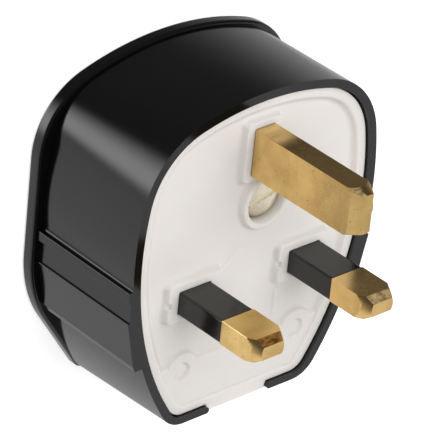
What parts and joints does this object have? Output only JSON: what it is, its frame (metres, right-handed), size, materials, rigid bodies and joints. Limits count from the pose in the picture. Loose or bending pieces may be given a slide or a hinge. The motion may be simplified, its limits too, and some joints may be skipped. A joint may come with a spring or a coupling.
{
  "type": "uk three pin plug",
  "caption": "Rewirable mains plug: white base with brass pins and dark pin sleeves, black moulded cover with a rear flange, stepped side grips and a cord slot.",
  "frame": {"origin": "midway between the line and neutral pins, on the plane where the raised pads meet the socket", "axes": "+Z along the pins, +Y from the line and neutral pins towards the earth pin, +X towards the neutral pin; the plug lies on its back"},
  "size_m": [0.0502, 0.0576, 0.0465],
  "materials": {
    "cover_black": "satin moulded",
    "base_white": "satin moulded",
    "brass": "machined",
    "sleeve_grey": "satin moulded",
    "screw_steel": "plated",
    "clip_brass": "rolled",
    "ceramic": "ceramic, unglazed",
    "fuse_metal": "drawn wire",
    "fibre": "pressed fibre"
  },
  "bodies": {
    "root": {"cover": "cover_black", "base": "base_white", "earth_pin": "brass", "neutral_pin": "brass", "line_pin": "brass", "line_terminal": "brass", "cover_insert": "brass", "pin_fuse_cap": "brass", "terminal_fuse_cap": "brass", "neutral_sleeve": "sleeve_grey", "line_sleeve": "sleeve_grey", "cover_screw": "screw_steel", "earth_terminal_screw": "screw_steel", "neutral_terminal_screw": "screw_steel", "line_terminal_screw": "screw_steel", "line_grip_screw": "screw_steel", "neutral_grip_screw": "screw_steel", "pin_fuse_clip": "clip_brass", "terminal_fuse_clip": "clip_brass", "fuse_tube": "ceramic", "fuse_wire": "fuse_metal", "screw_washer": "fibre", "cord_grip_bar": "fibre"}
  },
  "joints": []
}
